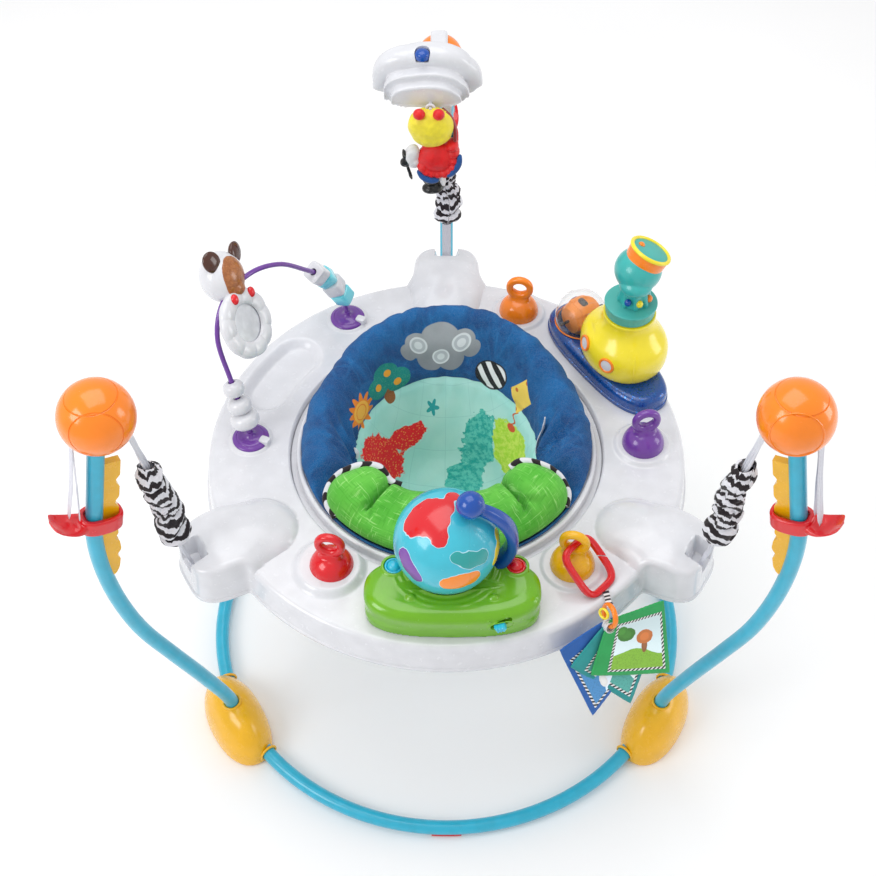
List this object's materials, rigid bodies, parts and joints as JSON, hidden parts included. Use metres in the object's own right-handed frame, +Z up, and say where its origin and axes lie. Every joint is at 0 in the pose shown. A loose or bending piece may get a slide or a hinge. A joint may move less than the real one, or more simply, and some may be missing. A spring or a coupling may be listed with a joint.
{
  "type": "baby activity center",
  "caption": "Free-standing baby jumper: a floor ring with curved posts carries, on sprung straps, a white toy tray with a turning fabric seat and a globe in front.",
  "frame": {"origin": "on the floor, under the middle of the whole object's bounding box", "axes": "+Z up, -Y to the front (the side with the globe), +X to the right as seen from the front"},
  "size_m": [0.997, 0.9652, 0.8737],
  "materials": {
    "cyan_paint": "gloss",
    "gold_plastic": "gloss",
    "orange_plastic": "gloss",
    "red_plastic": "gloss",
    "red_pad": "matte",
    "webbing": "woven",
    "zebra_cloth": "gathered print cloth",
    "white_plastic": "gloss",
    "blue_cloth": "printed plush",
    "green_cloth": "padded cloth",
    "green_plastic": "gloss",
    "blue_plastic": "gloss",
    "sea_plastic": "gloss",
    "purple_plastic": "gloss",
    "teal_plastic": "gloss",
    "yellow_plastic": "gloss",
    "ice_plastic": "gloss",
    "mirror": "polished plastic mirror",
    "green_card": "printed cloth",
    "teal_card": "printed cloth",
    "blue_card": "printed cloth",
    "toy_cloth": "soft toy plush"
  },
  "bodies": {
    "frame": {"base_tube_1": "cyan_paint", "base_tube_2": "cyan_paint", "base_tube_3": "cyan_paint", "foot_1": "gold_plastic", "foot_2": "gold_plastic", "foot_3": "gold_plastic", "post_1": "cyan_paint", "post_2": "cyan_paint", "post_3": "cyan_paint", "ball_1": "orange_plastic", "ball_2": "orange_plastic", "ball_3": "orange_plastic", "rack_1": "gold_plastic", "rack_2": "gold_plastic", "rack_3": "gold_plastic", "feed_strap_1": "webbing", "feed_strap_2": "webbing", "feed_strap_3": "webbing", "lift_spring_1": "webbing", "lift_spring_2": "webbing", "lift_spring_3": "webbing", "sleeve_1": "zebra_cloth", "sleeve_2": "zebra_cloth", "sleeve_3": "zebra_cloth", "floor_pad": "red_pad", "cloud": "white_plastic"},
    "left_adjuster": {"adjuster_1": "red_plastic"},
    "right_adjuster": {"adjuster_2": "red_plastic"},
    "back_adjuster": {"adjuster_3": "red_plastic"},
    "tray": {"tray": "white_plastic", "globe_base": "green_plastic", "globe_arm": "blue_plastic", "loop_knob_red": "red_plastic", "loop_knob_gold": "gold_plastic", "loop_knob_orange": "orange_plastic", "loop_knob_purple": "purple_plastic", "bead_arch": "purple_plastic", "sub_base": "blue_plastic", "sub_body": "yellow_plastic"},
    "seat": {"seat_ring": "white_plastic", "seat_pouch": "blue_cloth", "seat_front": "green_cloth"},
    "globe": {"globe": "sea_plastic"},
    "left_button": {"button_left": "sea_plastic"},
    "right_button": {"button_right": "red_plastic"},
    "volume_slider": {"volume_switch": "sea_plastic"},
    "link": {"link": "red_plastic"},
    "card_ring": {"card_ring": "orange_plastic"},
    "front_card": {"card_front": "green_card"},
    "middle_card": {"card_middle": "teal_card"},
    "back_card": {"card_back": "blue_card"},
    "snow_bead": {"snow_bead": "white_plastic"},
    "lower_ice_bead": {"ice_bead_lower": "ice_plastic"},
    "upper_ice_bead": {"ice_bead_upper": "ice_plastic"},
    "mirror": {"mirror_frame": "white_plastic", "mirror_plate": "mirror"},
    "roller": {"sub_roller": "orange_plastic"},
    "octopus": {"octopus": "teal_plastic"},
    "cloud_button": {"cloud_button": "blue_plastic"},
    "hanging_toy": {"hanging_toy": "toy_cloth"}
  },
  "joints": [
    {"name": "tray_bounce", "type": "slide", "parent": "frame", "child": "tray", "axis": [0, 0, 1], "range_m": [-0.08, 0.03], "stiffness_N_per_m": 1600, "springref_m": 0.0294, "deforming": ["lift_spring_1", "lift_spring_2", "lift_spring_3", "sleeve_1", "sleeve_2", "sleeve_3"]},
    {"name": "left_adjuster_slide", "type": "slide", "parent": "frame", "child": "left_adjuster", "axis": [0.1792, 0.1035, 0.9783], "range_m": [0, 0.07], "deforming": ["feed_strap_1"]},
    {"name": "right_adjuster_slide", "type": "slide", "parent": "frame", "child": "right_adjuster", "axis": [-0.1792, 0.1035, 0.9783], "range_m": [0, 0.07], "deforming": ["feed_strap_2"]},
    {"name": "back_adjuster_slide", "type": "slide", "parent": "frame", "child": "back_adjuster", "axis": [0, -0.207, 0.9783], "range_m": [0, 0.07], "deforming": ["feed_strap_3"]},
    {"name": "seat_spin", "type": "hinge", "parent": "tray", "child": "seat", "pos_m": [0, -0.08848, 0.48], "axis": [0, 0, 1], "range_deg": [-105, 105]},
    {"name": "globe_spin", "type": "hinge", "parent": "tray", "child": "globe", "pos_m": [0, -0.33148, 0.575], "axis": [0.333, -0.075, 0.9399], "continuous": true},
    {"name": "left_button_press", "type": "slide", "parent": "tray", "child": "left_button", "axis": [0, 0, -1], "range_m": [0, 0.003], "stiffness_N_per_m": 300},
    {"name": "right_button_press", "type": "slide", "parent": "tray", "child": "right_button", "axis": [0, 0, -1], "range_m": [0, 0.003], "stiffness_N_per_m": 300},
    {"name": "volume_slide", "type": "slide", "parent": "tray", "child": "volume_slider", "axis": [1, 0, 0], "range_m": [-0.009, 0.017]},
    {"name": "link_swing", "type": "hinge", "parent": "tray", "child": "link", "pos_m": [0.173, -0.30348, 0.527], "axis": [-0.6871, -0.7266, 0], "range_deg": [0, 90]},
    {"name": "card_ring_swing", "type": "hinge", "parent": "link", "child": "card_ring", "pos_m": [0.2117, -0.3412, 0.4818], "axis": [0.9139, 0.3609, -0.186], "range_deg": [-45, 0]},
    {"name": "front_card_swing", "type": "hinge", "parent": "card_ring", "child": "front_card", "pos_m": [0.2177, -0.3965, 0.4736], "axis": [0.4054, -0.8366, 0.3685], "range_deg": [-20, 20]},
    {"name": "middle_card_swing", "type": "hinge", "parent": "card_ring", "child": "middle_card", "pos_m": [0.2177, -0.3965, 0.4736], "axis": [0.4054, -0.8366, 0.3685], "range_deg": [-20, 20]},
    {"name": "back_card_swing", "type": "hinge", "parent": "card_ring", "child": "back_card", "pos_m": [0.2177, -0.3965, 0.4736], "axis": [0.4054, -0.8366, 0.3685], "range_deg": [-20, 20]},
    {"name": "snow_bead_spin", "type": "hinge", "parent": "tray", "child": "snow_bead", "pos_m": [-0.30476, -0.05613, 0.55555], "axis": [-0.227, 0.2724, 0.935], "range_deg": [-50, 50]},
    {"name": "lower_ice_bead_spin", "type": "hinge", "parent": "tray", "child": "lower_ice_bead", "pos_m": [-0.17425, 0.18118, 0.54275], "axis": [0.4366, 0.1404, -0.8886], "continuous": true},
    {"name": "upper_ice_bead_spin", "type": "hinge", "parent": "tray", "child": "upper_ice_bead", "pos_m": [-0.19619, 0.16329, 0.58577], "axis": [0.3774, 0.5018, -0.7784], "continuous": true},
    {"name": "mirror_flip", "type": "hinge", "parent": "tray", "child": "mirror", "pos_m": [-0.29854, 0.02523, 0.69362], "axis": [0.5663, 0.733, 0.3768], "range_deg": [-20, 20]},
    {"name": "roller_spin", "type": "hinge", "parent": "tray", "child": "roller", "pos_m": [0.21025, 0.14225, 0.5193], "axis": [0.8387, 0.5446, 0], "continuous": true},
    {"name": "octopus_spin", "type": "hinge", "parent": "tray", "child": "octopus", "pos_m": [0.26485, 0.0692, 0.5919], "axis": [0, 0, 1], "continuous": true},
    {"name": "cloud_button_press", "type": "slide", "parent": "frame", "child": "cloud_button", "axis": [0, 0, -1], "range_m": [0, 0.003], "stiffness_N_per_m": 200},
    {"name": "toy_swing", "type": "hinge", "parent": "frame", "child": "hanging_toy", "pos_m": [-0.024, 0.30452, 0.79], "axis": [0, 1, 0], "range_deg": [-20, 20]}
  ]
}
